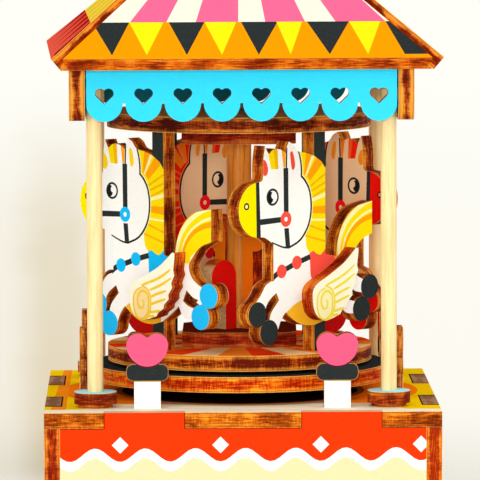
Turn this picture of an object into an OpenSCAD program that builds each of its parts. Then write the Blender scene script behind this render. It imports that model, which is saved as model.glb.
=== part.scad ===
// Carousel music box of 4 mm plywood: a square base that holds a wind-up
// movement, a turning carousel with four horses, four dowel pillars, a
// scalloped valance and a four-sided roof.
// Z is up, the front faces -Y, and the origin is under the middle of the base.

/* [Plywood] */
// Thickness of every plywood piece
ply = 4; // [3.5:0.1:4.5]

/* [Base] */
// Width and depth of the base
base_w = 100; // [96:1:110]
// Height of the base, top plate included
base_h = 44; // [42:1:60]
// Depth of the recess under the bottom panel, where the key turns
recess_h = 8; // [8:0.5:10]
// Width of each tab that joins a side panel to the top plate
tab_w = 20.4; // [14:0.2:22]
// Distance of those tabs from the middle of their side
tab_offset = 24.8; // [22:0.2:27]
// Width of the tab on each edge of the bottom panel
floor_tab_w = 20; // [10:1:30]

/* [Heart posts] */
// Distance of each heart post from the middle of its side
post_offset = 24; // [20:0.5:26]
// Distance from the edge of the base to the outer face of a heart post
post_inset = 8.8; // [4.5:0.1:9.6]
// Width of the upright of a heart post
post_w = 6.7; // [5.5:0.1:8]
// Height of the upright below its bar
post_h = 7.4; // [5:0.2:9]
// Width of the rounded bar
post_bar_w = 10.6; // [9:0.1:11.5]
// Height of the rounded bar
post_bar_h = 4.3; // [3:0.1:5]
// Radius of the bar's corners
post_bar_r = 1.7; // [1:0.1:2.1]
// Width of the heart
heart_w = 10.5; // [9:0.1:12]
// Height of the heart
heart_h = 8.3; // [7.5:0.1:9.5]
// How far the heart reaches down into the bar
heart_overlap = 0.6; // [0.3:0.1:1]
// Width of the tab under a heart post
post_tab_w = 4; // [3:0.1:5]

/* [Pillars] */
// Gap between the pillars and the valance around them
pillar_gap = 0.25; // [0.1:0.05:1]
// Diameter of the dowels
pillar_d = 4; // [3.4:0.1:4.4]
// Diameter of the collars at the foot of the pillars
collar_d = 10.8; // [8:0.1:11.4]
// Height of the collars
collar_h = 4; // [3:0.1:6]
// Height of the narrower foot of a collar
collar_step = 1; // [0.5:0.1:1.5]

/* [Valance and roof] */
// Outside width of the valance box
valance_w = 86.8; // [86:0.1:90]
// Height above the base of the lowest point of the valance
valance_z = 72.7; // [70.5:0.1:75]
// Number of scallops on the front and on the back
scallops = 8; // [6:1:10]
// Number of scallops on each side
side_scallops = 9; // [7:1:11]
// Width of the slit between two scallops
slit_w = 0.75; // [0.4:0.05:1.2]
// Width of the heart cut in each scallop
cutout_w = 4.7; // [3:0.1:5.5]
// Height of those hearts
cutout_h = 4.05; // [2.6:0.05:4.8]
// Height of the point of those hearts above the lowest point of the valance
cutout_rise = 4.35; // [4:0.05:6]
// How far the upper eaves of the roof stand out from the valance
roof_overhang = 5.75; // [4.5:0.05:9]
// Height of the lowest edge of the roof above the base
eave_z = 85.8; // [84:0.1:90]
// Slope of the roof
roof_slope = 40.5; // [36:0.5:44]
// Angle by which the roof sits turned on the valance
roof_turn = 1.7; // [-3:0.1:3]
// How far the front and back roof panels stop short of each corner
hip_inset = 2.95; // [2:0.05:3.5]
// Diameter of the ball on the roof
finial_d = 8; // [6:0.5:12]

/* [Carousel] */
// Angle by which the carousel stands turned at rest
rest_turn = -1.25; // [-10:0.25:10]
// Gap between the base and the lower disc
disc_gap = 3.5; // [2.6:0.1:4]
// Distance from the rim of the lower disc to the edge of the base
disc_inset = 12; // [11.2:0.1:14]
// Distance from the rim of the turntable to the rim of the lower disc
turntable_inset = 3.8; // [2:0.1:5]
// Radius of the ring above the horses
ring_r = 34.2; // [32:0.1:36]
// Thickness of the spacer between the lower disc and the turntable
spacer_h = 1; // [0.5:0.1:2]
// Radius of that spacer
spacer_r = 20; // [12:0.5:30]
// Clear height between the turntable and the ring
stage_h = 56.5; // [56:0.1:58]
// Width across the flats of the hub blocks
block_w = 29.4; // [24:0.2:32]
// Length cut off each corner of a hub block
block_chamfer = 3.2; // [2:0.1:5]
// Diameter of the centre column
column_d = 6.4; // [5.8:0.1:8]
// Distance of the horses from the axis, to the middle of their plates
horse_orbit = 27.2; // [26:0.1:28]
// Length of a horse from muzzle to tail
horse_l = 47.8; // [44:0.1:49]
// Width of the pole that each horse is cut with
pole_w = 4; // [3:0.1:5]
// Height of the belly above the turntable
horse_lift = 6.7; // [6:0.1:7]
// Height of the red scrolls in the middle
red_scroll_h = 18; // [14:0.5:24]
// Height of the orange scrolls in the middle
orange_scroll_h = 29; // [24:0.5:34]
// How far the scrolls reach from the axis
scroll_reach = 12; // [9:0.5:14]

/* [Movement] */
// Thickness of the bedplate
bed_t = 2; // [1.6:0.1:2.6]
// Outside radius of the spring barrel
barrel_r = 12; // [11:0.1:12.2]
// Height of the spring barrel
barrel_h = 11.3; // [10.6:0.1:11.6]
// Wall of the spring barrel
barrel_wall = 1; // [0.8:0.1:1.4]
// Number of teeth of the crown gear
crown_teeth = 36; // [36:1:36]
// Number of teeth of the pinion that it drives
pinion_teeth = 12; // [12:1:12]
// Pitch radius of the pinion
pinion_pitch_r = 5.25; // [5.1:0.05:5.3]
// Radius of the pinned cylinder
drum_r = 6.5; // [5.5:0.1:6.6]
// Gap between the end of the cylinder's arbor and the wall of the base
wall_gap = 3.05; // [2.5:0.05:5]
// Number of notes, one tooth of the comb each
notes = 18; // [12:1:18]
// Number of pins for each note
pins_per_note = 3; // [2:1:4]
// Height of a pin above the cylinder
pin_h = 0.7; // [0.5:0.05:0.8]
// Number of teeth of the wheel that drives the governor
wheel_teeth = 16; // [16:1:16]
// Diameter of the output shaft
shaft_d = 5; // [4:0.1:6]
// Diameter of the winding arbor
arbor_d = 5; // [4:0.1:5.4]
// Diameter of the cylinder's arbor
cylinder_arbor_d = 2; // [1.6:0.1:2.4]
// Width of the wings of the key
key_w = 26; // [20:1:30]
// Diameter of the top pivot pin
pivot_d = 3; // [2:0.1:3.6]

/* [Clearances] */
// Radial clearance of a shaft in its bearing
running_fit = 0.05; // [0.03:0.01:0.08]
// Radial clearance of a piece that is glued in its hole
glue_fit = 0.02; // [0.01:0.01:0.05]
// Least gap between pieces that move past each other
air = 0.3; // [0.3:0.05:0.4]
// Gap beside the front and back valances
valance_gap = 0.4; // [0.1:0.1:0.6]

/* [Hidden] */
$fn = 64;

// Heights, from the ground up
floor_z = recess_h;
bed_z = floor_z + ply;
works_z = bed_z + bed_t;
plate_z = base_h - ply;
disc_z = base_h + disc_gap;
spacer_z = disc_z + ply;
turntable_z = spacer_z + spacer_h;
stage_z = turntable_z + ply;
ring_z = stage_z + stage_h;
valance_bottom = base_h + valance_z;
eave_bottom = base_h + eave_z;

// Base
half_base = base_w / 2;
inner_w = base_w - 2 * ply;
post_reach = half_base - post_inset;
pillar_offset = valance_w / 2 - ply - pillar_gap - pillar_d / 2;

// Roof: the upper eave stands out from the lower one, because the edge is square
roof_half = valance_w / 2 + roof_overhang;
roof_w = 2 * roof_half;
eave_top = eave_bottom + ply * cos(roof_slope);
apex_z = eave_top + roof_half * tan(roof_slope);
slant = roof_half / cos(roof_slope);
lower_eave = roof_half - ply * sin(roof_slope);
valance_reach = valance_w / 2 * (cos(roof_turn) + abs(sin(roof_turn)));
valance_top = eave_bottom + (lower_eave - valance_reach) * tan(roof_slope);
valance_h = valance_top - valance_bottom;
ceiling_w = valance_w - 2 * ply;
ceiling_z = valance_top - ply;
scallop_trim = 0.03;

// Corners of the object, by their direction from the axis
FRONT_LEFT = 225;
FRONT_RIGHT = 315;
BACK_LEFT = 135;
BACK_RIGHT = 45;
FRONT = 270;
BACK = 90;
LEFT = 180;
RIGHT = 0;

// Carousel
disc_r = half_base - disc_inset;
turntable_r = disc_r - turntable_inset;

// Movement
bush_wall = 2;
bush_flange_t = 0.8;
flange_z = base_h + bush_flange_t + air;
cylinder_z = works_z + drum_r + pin_h + 1.3;
crown_pitch_z = cylinder_z + pinion_pitch_r;
crown_pitch_r = pinion_pitch_r * crown_teeth / pinion_teeth;
crown_addendum = 0.75;
crown_dedendum = 1.05;
crown_root_z = crown_pitch_z + crown_dedendum;
crown_t = 2;
mesh_w = 2;
pinion_x = crown_pitch_r - mesh_w / 2;
crown_r = crown_pitch_r + mesh_w / 2 + 0.5;
barrel_z = works_z + 1;
barrel_top = barrel_z + barrel_h;
bearing_t = 1.2;
inner_bearing_x = barrel_r + 0.6;
drum_x = crown_r + 2;
wheel_t = 1.5;
arbor_end_x = inner_w / 2 - wall_gap;
outer_bearing_x = arbor_end_x - 0.4 - bearing_t;
wheel_x = outer_bearing_x - 0.6 - wheel_t;
worm_x = wheel_x + wheel_t / 2;
worm_mid_r = 1.9;
worm_throw = 0.7;
drum_l = worm_x - worm_mid_r - worm_throw - air - drum_x;
wheel_pitch_r = 6;
worm_pitch = 2 * PI * wheel_pitch_r / wheel_teeth;
worm_turns = 3;
worm_l = worm_pitch * worm_turns;
worm_y = wheel_pitch_r + worm_mid_r + 0.1;
spindle_d = 1;
fly_w = 9;
fly_h = 4;
fly_z = cylinder_z + drum_r + pin_h + air;
cock_z = fly_z + fly_h + 0.8;
cock_t = 1;
cock_y = worm_y + fly_w / 2 + 0.8;
comb_t = 1;
comb_gap = 0.3;
comb_tip_y = -(drum_r + pin_h + comb_gap);
comb_tooth_l = 11;
comb_base_l = 8;
comb_pitch = drum_l / (notes + 1);
comb_w = comb_pitch * notes;
comb_x = drum_x + (drum_l - comb_w) / 2;
comb_end_y = comb_tip_y - comb_tooth_l - comb_base_l;
bed_left = -barrel_r - 4;
bed_front = comb_end_y - 2;
bed_back = cock_y + 4;
screw_d = 2.5;
screw_head_d = 5;
screw_head_h = 1.4;
screw_spots = [
    [bed_left + 4, bed_front + 4], [arbor_end_x - 4, bed_front + 4],
    [bed_left + 4, bed_back - 4], [drum_x + drum_l / 2, bed_back - 4]
];
key_gap = 1.2;
key_hole_d = arbor_d + 2;

// Horse: its outline is drawn 47.8 mm long, with the belly 6.1 mm up
horse_scale = horse_l / 47.8;
horse_raise = horse_lift - 6.1 * horse_scale;

// ---------------------------------------------------------------- helpers

// A smooth curve through the points p, without its last point
function curve(p, steps = 4) = [
    for (i = [0 : len(p) - 2], k = [0 : steps - 1])
        let (
            a = p[max(i - 1, 0)], b = p[i], c = p[i + 1], d = p[min(i + 2, len(p) - 1)],
            t = k / steps
        )
        b + t * (c - a) / 2 + t * t * (2 * a - 5 * b + 4 * c - d) / 2
            + t * t * t * (3 * b - 3 * c + d - a) / 2
];

// The same points in the other order, because a polygon runs anticlockwise
function backwards(p) = [for (i = [len(p) - 1 : -1 : 0]) p[i]];

// A plate that stands upright across the direction turn, its inner face at
// reach from the axis; its outline's X runs anticlockwise and its Y runs up
module standing(turn, reach, z, thickness = ply)
    rotate([0, 0, turn])
        translate([reach, 0, z])
            rotate([90, 0, 90])
                linear_extrude(thickness) children();

// A plate that lies flat with its lower face at z
module lying(z, thickness = ply)
    translate([0, 0, z]) linear_extrude(thickness) children();

module ring_2d(outer_r, inner_r)
    difference() {
        circle(outer_r);
        circle(inner_r);
    }

// A heart of width w and height h, with its point at the origin; its straight
// sides run just inside the tangents of its lobes, and so cross the circles
module heart_2d(w, h) {
    lobe = w * 0.27;
    side = w / 2 - lobe;
    rise = h - lobe;
    inner = lobe * 0.985;
    union() {
        for (s = [-1, 1]) translate([s * side, rise]) circle(lobe, $fn = 40);
        polygon([[0, 0], heart_edge(side, rise, inner, 1), [side, rise], [0, rise + lobe * 0.72],
                 [-side, rise], heart_edge(side, rise, inner, -1)]);
    }
}

// A fuller heart, round below as well
module round_heart_2d(w, h) {
    lobe = w * 0.27;
    side = w / 2 - lobe;
    rise = h - lobe;
    union() {
        for (s = [-1, 1]) translate([s * side, rise]) circle(lobe, $fn = 40);
        polygon(concat(
            [for (i = [-14 : 14])
                [(w / 2 - 0.02) * sin(i * 6), rise * (1 - cos(i * 6)) + 0.02]],
            [[side, rise], [0, rise + lobe * 0.72], [-side, rise]]
        ));
    }
}

// A bar of width w and height h with its corners rounded to the radius r
module rounded_bar_2d(w, h, r) {
    translate([-w / 2 + r, -h / 2]) square([w - 2 * r, h]);
    translate([-w / 2, -h / 2 + r]) square([w, h - 2 * r]);
    for (x = [-1, 1], y = [-1, 1])
        translate([x * (w / 2 - r), y * (h / 2 - r)]) circle(r, $fn = 32);
}

// Where a line from the heart's point touches a circle of radius r in its lobe
function heart_edge(side, rise, r, s) =
    let (
        far = sqrt(side * side + rise * rise),
        swing = atan2(rise, side) - asin(r / far),
        along = sqrt(far * far - r * r)
    )
    [s * along * cos(swing), along * sin(swing)];

// ---------------------------------------------------------------- base

module tabs_2d(w, offset, y)
    for (s = [-1, 1]) translate([s * offset - w / 2, y]) square([w, ply]);

module base_top_plate()
    color([1, 0.78, 0.2])
        lying(plate_z)
            difference() {
                square(base_w, center = true);
                for (turn = [FRONT, BACK, LEFT, RIGHT]) rotate(turn - FRONT) {
                    tabs_2d(tab_w, tab_offset, -half_base);
                    tabs_2d(post_tab_w, post_offset, -post_reach);
                }
                circle(shaft_d / 2 + running_fit + bush_wall);
                for (x = [-1, 1], y = [-1, 1])
                    translate([x, y] * pillar_offset) circle(pillar_d / 2 + glue_fit);
            }

// A side of the base, w wide, with tabs for the top plate and a slot for the bottom
module base_panel_2d(w)
    difference() {
        union() {
            translate([-w / 2, 0]) square([w, plate_z]);
            tabs_2d(tab_w, tab_offset, plate_z);
        }
        translate([-floor_tab_w / 2, floor_z]) square([floor_tab_w, ply]);
    }

module base_panel(turn, w) standing(turn, half_base - ply, 0) base_panel_2d(w);

module base_front_panel() color([1, 0.35, 0.15]) base_panel(FRONT, inner_w);
module base_back_panel() color([1, 0.35, 0.15]) base_panel(BACK, inner_w);
module base_left_panel() color([1, 0.35, 0.15]) base_panel(LEFT, base_w);
module base_right_panel() color([1, 0.35, 0.15]) base_panel(RIGHT, base_w);

module base_bottom_panel()
    color([0.85, 0.68, 0.45])
        lying(floor_z)
            difference() {
                union() {
                    square(inner_w, center = true);
                    square([floor_tab_w, base_w], center = true);
                    square([base_w, floor_tab_w], center = true);
                }
                circle(d = key_hole_d);
                for (p = screw_spots) translate(p) circle(screw_d / 2 + glue_fit);
            }

module heart_post_2d() {
    bar_z = post_h + post_bar_h / 2 - 0.4;
    translate([-post_tab_w / 2, -ply]) square([post_tab_w, ply]);
    translate([-post_w / 2, 0]) square([post_w, bar_z]);
    translate([0, bar_z]) rounded_bar_2d(post_bar_w, post_bar_h, post_bar_r);
    translate([0, bar_z + post_bar_h / 2 - heart_overlap]) round_heart_2d(heart_w, heart_h);
}

module heart_posts(turn)
    for (s = [-1, 1])
        standing(turn, post_reach - ply, base_h)
            translate([s * post_offset, 0]) heart_post_2d();

module front_heart_posts() color([1, 0.4, 0.6]) heart_posts(FRONT);
module back_heart_posts() color([1, 0.4, 0.6]) heart_posts(BACK);
module left_heart_posts() color([1, 0.4, 0.6]) heart_posts(LEFT);
module right_heart_posts() color([1, 0.4, 0.6]) heart_posts(RIGHT);

// ---------------------------------------------------------------- pillars

module pillar(x, y)
    color([0.98, 0.88, 0.63])
        translate([x * pillar_offset, y * pillar_offset, plate_z])
            cylinder(h = ceiling_z - plate_z, d = pillar_d);

module pillar_front_left() pillar(-1, -1);
module pillar_front_right() pillar(1, -1);
module pillar_back_left() pillar(-1, 1);
module pillar_back_right() pillar(1, 1);

module pillar_collars()
    color([0.3, 0.8, 1])
        for (x = [-1, 1], y = [-1, 1])
            translate([x * pillar_offset, y * pillar_offset, base_h])
                difference() {
                    union() {
                        cylinder(h = collar_h, d = collar_d - 2 * collar_step);
                        translate([0, 0, collar_step])
                            cylinder(h = collar_h - collar_step, d = collar_d);
                    }
                    translate([0, 0, -1])
                        cylinder(h = collar_h + 2, r = pillar_d / 2 + glue_fit);
                }

// ---------------------------------------------------------------- valance and roof

module ceiling_plate()
    color([0.85, 0.68, 0.45])
        lying(ceiling_z)
            difference() {
                square(ceiling_w, center = true);
                circle(pivot_d / 2 + running_fit + bush_wall);
            }

// A valance w wide, cut from a row of count scallops that is lace_w wide, its
// lowest point at the origin's height; the slits trim the sides of the scallops
module valance_2d(w, count, lace_w) {
    pitch = lace_w / count;
    r = (pitch - slit_w) / 2 + scallop_trim;
    difference() {
        intersection() {
            translate([-w / 2, -1]) square([w, valance_h + 1]);
            union() {
                translate([-lace_w, r]) square([2 * lace_w, valance_h]);
                for (i = [0 : count - 1])
                    translate([(i + 0.5) * pitch - lace_w / 2, r]) circle(r, $fn = 40);
            }
        }
        for (i = [1 : count - 1])
            translate([i * pitch - lace_w / 2 - slit_w / 2, 0]) square([slit_w, r]);
        for (i = [0 : count - 1])
            translate([(i + 0.5) * pitch - lace_w / 2, cutout_rise]) heart_2d(cutout_w, cutout_h);
    }
}

module valance(turn, w, count, lace_w)
    color([0.35, 0.87, 1])
        standing(turn, valance_w / 2 - ply, valance_bottom) valance_2d(w, count, lace_w);

module end_valance(turn) valance(turn, ceiling_w - 2 * valance_gap, scallops, ceiling_w);
module side_valance(turn) valance(turn, valance_w, side_scallops, valance_w);
module valance_front() end_valance(FRONT);
module valance_back() end_valance(BACK);
module valance_left() side_valance(LEFT);
module valance_right() side_valance(RIGHT);

// A roof panel: a triangle in the sloping plane, cut square through the plywood,
// inset from each corner of the roof, and trimmed where it meets its opposite
module roof_panel(turn, inset)
    rotate([0, 0, turn + roof_turn])
        intersection() {
            translate([roof_half, 0, eave_top])
                rotate([0, roof_slope, 0])
                    translate([0, 0, -ply])
                        linear_extrude(ply)
                            polygon([
                                [0, inset - roof_half], [0, roof_half - inset],
                                [-slant * (1 - inset / roof_half), 0]
                            ]);
            translate([0, -roof_w, eave_bottom - roof_w]) cube([roof_w, 2 * roof_w, 3 * roof_w]);
        }

module side_roof(turn) color([1, 0.65, 0.1]) roof_panel(turn, 0);

// The front and back panels fit between the side panels
module end_roof(turn)
    color([1, 0.65, 0.1])
        difference() {
            roof_panel(turn, hip_inset);
            roof_panel(LEFT, 0);
            roof_panel(RIGHT, 0);
        }

module roof_front() end_roof(FRONT);
module roof_back() end_roof(BACK);
module roof_left() side_roof(LEFT);
module roof_right() side_roof(RIGHT);

module finial()
    color([0.98, 0.88, 0.63])
        difference() {
            union() {
                translate([0, 0, apex_z - 2]) cylinder(h = 3, d = finial_d * 0.62);
                translate([0, 0, apex_z + 1 + finial_d * 0.36]) sphere(d = finial_d);
            }
            for (turn = [FRONT, BACK, LEFT, RIGHT]) rotate([0, 0, turn + roof_turn])
                translate([roof_half, 0, eave_top])
                    rotate([0, roof_slope, 0])
                        translate([-2 * roof_w, -roof_w, -roof_w])
                            cube([2 * roof_w, 2 * roof_w, roof_w]);
        }

// ---------------------------------------------------------------- carousel

module on_carousel() rotate([0, 0, rest_turn]) children();

module disc_2d(r)
    difference() {
        circle(r);
        circle(shaft_d / 2 + glue_fit);
    }

module output_shaft()
    color([0.75, 0.75, 0.77])
        translate([0, 0, barrel_top + air])
            cylinder(h = stage_z + ply - barrel_top - air, d = shaft_d);

module hub_flange() color([0.85, 0.7, 0.35]) lying(flange_z, disc_z - flange_z) disc_2d(2 * shaft_d);
module lower_disc() color([0.2, 0.22, 0.22]) lying(disc_z) disc_2d(disc_r);
module disc_spacer() color([0.7, 0.45, 0.2]) lying(spacer_z, spacer_h) disc_2d(spacer_r);
module turntable() color([1, 0.55, 0.25]) lying(turntable_z) disc_2d(turntable_r);

module block_2d(bore_r)
    difference() {
        intersection() {
            square(block_w, center = true);
            rotate(45) square((block_w - block_chamfer) * sqrt(2), center = true);
        }
        circle(bore_r);
    }

module lower_hub_block()
    color([0.3, 0.25, 0.22])
        on_carousel() lying(stage_z) block_2d(shaft_d / 2 + glue_fit);

module upper_hub_block()
    color([0.3, 0.25, 0.22])
        on_carousel() lying(ring_z - ply) block_2d(pivot_d / 2 + glue_fit);

module column()
    color([0.75, 0.5, 0.15])
        translate([0, 0, stage_z + ply]) cylinder(h = stage_h - 2 * ply, d = column_d);

module upper_ring()
    color([0.35, 0.22, 0.15])
        lying(ring_z)
            difference() {
                circle(ring_r);
                circle(pivot_d / 2 + glue_fit);
            }

module top_pivot_pin()
    color([0.75, 0.75, 0.77])
        translate([0, 0, ring_z - ply])
            cylinder(h = valance_top - 1 - (ring_z - ply), d = pivot_d);

// A scroll: an upright against the column whose top curls outwards
module scroll_2d(h) {
    inner = column_d / 2 + glue_fit;
    curl = (scroll_reach - inner) / 2;
    leg_w = curl * 0.85;
    translate([inner, 0]) square([leg_w, h - curl]);
    translate([inner + curl, h - curl]) circle(curl);
}

module scroll(turn, h)
    on_carousel() rotate([0, 0, turn])
        translate([0, ply / 2, stage_z + ply])
            rotate([90, 0, 0])
                linear_extrude(ply) scroll_2d(h);

module centre_scrolls() {
    color([1, 0.05, 0.05]) for (turn = [FRONT_LEFT, BACK_RIGHT]) scroll(turn, red_scroll_h);
    color([1, 0.5, 0.1]) for (turn = [FRONT_RIGHT, BACK_LEFT]) scroll(turn, orange_scroll_h);
}

// ---------------------------------------------------------------- horses
// X runs from the pole towards the tail, and Y up from the turntable

head_line = concat(
    curve([[-22, 43.7], [-20.4, 44.4], [-20.3, 48.6], [-19.6, 52.8]]),
    curve([[-19.6, 52.8], [-18.4, 50.8], [-17, 51.6], [-15.4, 51.9], [-13.2, 51.3], [-12.2, 50.6]]),
    curve([[-12.2, 50.6], [-11.9, 52], [-11.1, 53.5]]),
    curve([[-11.1, 53.5], [-9.4, 52.6], [-7.8, 50.9], [-4.6, 50.3], [-1.5, 49.2], [0.7, 47.9], [2.1, 46.1]])
);
tail_line = concat(
    [[2.1, 46.1], [2.1, 24.1]],
    curve([[6.1, 23.3], [6.9, 27.9], [9.1, 32.3], [12.9, 35.4], [19.3, 36.7]]),
    [[19.3, 36.7]],
    curve([[19.3, 28.4], [15.5, 27], [12.9, 24.5], [11.2, 21.9], [12.5, 18.7], [16, 16.6], [18.4, 16.2]])
);
hind_leg_line = concat(
    [[18.4, 14.6]],
    curve([[15.9, 13.2], [12.8, 13.9], [10.3, 15.7]]),
    [[10.3, 15.7]],
    curve([[9, 12.8], [10.8, 11.7], [13.2, 11.1]]),
    [[15.4, 9]],
    curve([[12.9, 8.1], [10.6, 8.2], [8.8, 9.1], [7.5, 11.4]])
);
belly_line = curve([[7.5, 11.4], [5.6, 9.8], [1.2, 7], [-3.6, 6.1], [-8.2, 7.2], [-12.4, 10.1]]);
front_leg_line = concat(
    curve([[-12.4, 10.1], [-14.2, 8], [-15.6, 5.4], [-18.4, 5.3]]),
    curve([[-18.4, 7.2], [-17.6, 10.2], [-14.7, 13.3]]),
    [[-14.7, 13.3]],
    curve([[-15.7, 15.3], [-18.8, 13], [-20.4, 9.4]]),
    [[-22.5, 10.1]],
    curve([[-23.6, 12.6], [-21.4, 14.8], [-19.3, 17.5], [-16.7, 18.5]])
);
neck_line = concat([[-16.7, 18.5], [-16.7, 27.8]], curve([[-16.9, 27.8], [-19.7, 29.5], [-22, 29.7]]));

module horse_2d()
    union() {
        translate([0, horse_raise]) scale(horse_scale) {
            polygon(backwards(concat(head_line, tail_line, hind_leg_line, belly_line,
                                     front_leg_line, neck_line, [[-22, 36.7]])));
            translate([-22, 36.7]) circle(7);
            for (p = [[-22.5, 10.1], [-18.4, 5.3], [18.4, 14.6], [15.4, 9]])
                translate(p) circle(3.2, $fn = 40);
        }
        translate([-pole_w / 2, 0]) square([pole_w, stage_h]);
    }

module horse(turn, shade)
    color(shade) on_carousel() standing(turn, horse_orbit - ply / 2, stage_z) horse_2d();

module horse_front_left() horse(FRONT_LEFT, [0.97, 0.96, 0.92]);
module horse_front_right() horse(FRONT_RIGHT, [0.97, 0.96, 0.92]);
module horse_back_left() horse(BACK_LEFT, [0.88, 0.67, 0.5]);
module horse_back_right() horse(BACK_RIGHT, [0.88, 0.67, 0.5]);

// The free ends of the wing's feathers, with a notch below each
feathers = [[10.1, 24.2], [9.6, 21], [10, 19.6], [8.9, 17.6], [9.2, 16.4], [7.8, 14.6], [7.9, 13.4],
            [6.2, 11.9], [6, 10.9], [4, 9.7], [3.4, 8.8], [0.6, 7.9]];
wing_line = concat(
    curve([[0.6, 7.9], [-2.6, 7.5], [-5.6, 9.6], [-6.6, 13.4], [-5.6, 16.6], [-0.1, 19.3], [5, 22],
           [9.2, 25.4]]),
    curve([[9.2, 25.4], [10, 25.3], [10.1, 24.2]])
);

module wing_2d()
    translate([0, horse_raise]) scale(horse_scale)
        polygon(backwards(concat(wing_line, feathers)));

module horse_wings()
    color([0.99, 0.96, 0.8])
        for (turn = [FRONT_LEFT, FRONT_RIGHT, BACK_LEFT, BACK_RIGHT])
            on_carousel() standing(turn, horse_orbit + ply / 2, stage_z) wing_2d();

// ---------------------------------------------------------------- movement

// A flanged bush: its barrel fills a hole in a plate, and its flange lies on it
module bush(z, bore_d, flange_below)
    color([0.85, 0.7, 0.35])
        difference() {
            union() {
                translate([0, 0, z])
                    cylinder(h = ply, r = bore_d / 2 + running_fit + bush_wall - glue_fit);
                translate([0, 0, flange_below ? z - bush_flange_t : z + ply])
                    cylinder(h = bush_flange_t, r = bore_d / 2 + running_fit + 2 * bush_wall);
            }
            translate([0, 0, z - ply]) cylinder(h = 3 * ply, r = bore_d / 2 + running_fit);
        }

module shaft_bush() bush(plate_z, shaft_d, false);
module top_bush() bush(ceiling_z, pivot_d, true);

module movement_bedplate()
    color([0.72, 0.72, 0.7])
        lying(bed_z, bed_t)
            difference() {
                translate([bed_left, bed_front])
                    square([arbor_end_x - bed_left, bed_back - bed_front]);
                circle(arbor_d / 2 + running_fit);
                translate([worm_x, worm_y]) circle(spindle_d / 2 + running_fit);
                for (p = screw_spots) translate(p) circle(screw_d / 2 + glue_fit);
            }

module mounting_screws()
    color([0.75, 0.75, 0.77])
        for (p = screw_spots) translate([p[0], p[1], floor_z]) {
            cylinder(h = works_z - floor_z, d = screw_d);
            difference() {
                translate([0, 0, -screw_head_h]) cylinder(h = screw_head_h, d = screw_head_d);
                translate([-screw_head_d / 2 - 1, -0.3, -screw_head_h - 1])
                    cube([screw_head_d + 2, 0.6, 1.5]);
            }
        }

module bearing_2d()
    difference() {
        union() {
            translate([-2.5, 0]) square([5, cylinder_z - works_z]);
            translate([0, cylinder_z - works_z]) circle(2.5);
        }
        translate([0, cylinder_z - works_z]) circle(cylinder_arbor_d / 2 + running_fit);
    }

module cylinder_bearings()
    color([0.85, 0.7, 0.35])
        for (x = [inner_bearing_x, outer_bearing_x])
            standing(RIGHT, x, works_z, bearing_t) bearing_2d();

comb_hole_x = [comb_x + comb_w * 0.2, comb_x + comb_w * 0.8];
comb_hole_y = comb_end_y + comb_base_l / 2;

module comb_block()
    color([0.72, 0.72, 0.7])
        difference() {
            translate([comb_x, comb_end_y, works_z])
                cube([comb_w, comb_base_l, cylinder_z - comb_t / 2 - works_z]);
            for (x = comb_hole_x)
                translate([x, comb_hole_y, works_z + 1])
                    cylinder(h = cylinder_z - works_z, r = 0.8 + glue_fit);
        }

module comb()
    color([0.6, 0.62, 0.65])
        lying(cylinder_z - comb_t / 2, comb_t)
            difference() {
                translate([comb_x, comb_end_y]) square([comb_w, comb_tooth_l + comb_base_l]);
                for (i = [1 : notes - 1])
                    translate([comb_x + i * comb_pitch - 0.12, comb_tip_y - comb_tooth_l])
                        square([0.24, comb_tooth_l + 1]);
                for (x = comb_hole_x) translate([x, comb_hole_y]) circle(0.8 + glue_fit);
            }

module comb_screws()
    color([0.75, 0.75, 0.77])
        for (x = comb_hole_x) translate([x, comb_hole_y, cylinder_z + comb_t / 2]) {
            cylinder(h = 1, d = 3.2);
            translate([0, 0, -5]) cylinder(h = 5, r = 0.8);
        }

module governor_bracket()
    color([0.85, 0.7, 0.35]) {
        translate([worm_x - 2.5, cock_y, works_z]) cube([5, cock_t, cock_z + cock_t - works_z]);
        translate([worm_x - 2.5, cock_y, works_z]) cube([5, 3.5, cock_t]);
        difference() {
            translate([worm_x - 2.5, worm_y - 2, cock_z]) cube([5, cock_y - worm_y + 2, cock_t]);
            translate([worm_x, worm_y, cock_z - 1])
                cylinder(h = cock_t + 2, r = spindle_d / 2 + running_fit);
        }
    }

module spring_barrel()
    color([0.85, 0.7, 0.35])
        translate([0, 0, barrel_z])
            difference() {
                cylinder(h = barrel_h, r = barrel_r);
                translate([0, 0, barrel_wall]) cylinder(h = barrel_h, r = barrel_r - barrel_wall);
                translate([0, 0, -1]) cylinder(h = barrel_h, r = arbor_d / 2 + running_fit);
            }

// The spring's strip winds outwards from beside the arbor to the barrel's wall
spring_turns = 7;
spring_t = 0.4;
spring_in = arbor_d / 2 + air + spring_t;
spring_out = barrel_r - barrel_wall - spring_t - 0.1;
function spring_at(a, shift) =
    let (r = spring_in + (spring_out - spring_in) * a / (360 * spring_turns) + shift)
    [r * cos(a), r * sin(a)];

module mainspring()
    color([0.45, 0.47, 0.5])
        lying(barrel_z + barrel_wall + air, barrel_h - barrel_wall - 2 * air)
            polygon(concat(
                [for (a = [0 : 15 : 360 * spring_turns]) spring_at(a, spring_t / 2)],
                [for (a = [360 * spring_turns : -15 : 0]) spring_at(a, -spring_t / 2)]
            ));

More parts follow.
